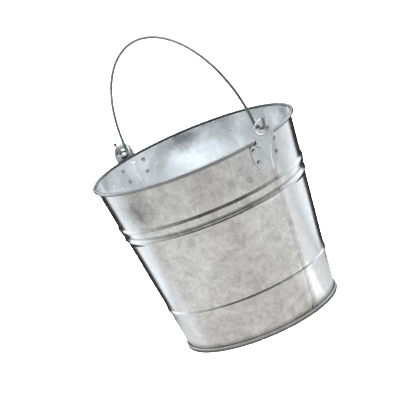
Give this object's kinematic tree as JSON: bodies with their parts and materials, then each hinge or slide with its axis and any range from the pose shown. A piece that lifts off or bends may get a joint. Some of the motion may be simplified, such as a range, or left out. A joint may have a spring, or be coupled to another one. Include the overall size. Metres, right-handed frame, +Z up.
{
  "type": "florist bucket",
  "caption": "Tapered galvanised steel florist bucket with ribbed wall, riveted ears at the rim and a swinging wire bail.",
  "frame": {"origin": "middle of the foot ring, on the plane that the bucket stands on", "axes": "+Z up along the bucket's axis; the ears, side seams and bail hinge lie along X; -Y is the side that the raised bail leans towards"},
  "size_m": [0.2908, 0.2656, 0.3807],
  "materials": {
    "zinc_sheet": "hot-dip galvanised steel sheet, mottled grey with a soft sheen",
    "zinc_wire": "galvanised steel wire, darker grey and smoother than the sheet",
    "sealing_compound": "matt black seam compound, hidden in the double seam"
  },
  "bodies": {
    "bucket": {"body_half_front": "zinc_sheet", "body_half_back": "zinc_sheet", "base_pan": "zinc_sheet", "ear_right": "zinc_sheet", "ear_left": "zinc_sheet", "rivet_right_upper_front": "zinc_wire", "rivet_right_upper_back": "zinc_wire", "rivet_right_lower_front": "zinc_wire", "rivet_right_lower_back": "zinc_wire", "rivet_left_upper_front": "zinc_wire", "rivet_left_upper_back": "zinc_wire", "rivet_left_lower_front": "zinc_wire", "rivet_left_lower_back": "zinc_wire", "rim_wire": "zinc_wire", "base_seam_seal": "sealing_compound"},
    "bail": {"bail_wire": "zinc_wire"}
  },
  "joints": [
    {"name": "bail_swing", "type": "hinge", "parent": "bucket", "child": "bail", "pos_m": [0, 0, 0.2405], "axis": [1, 0, 0], "range_deg": [-95.8, 91.2]}
  ]
}
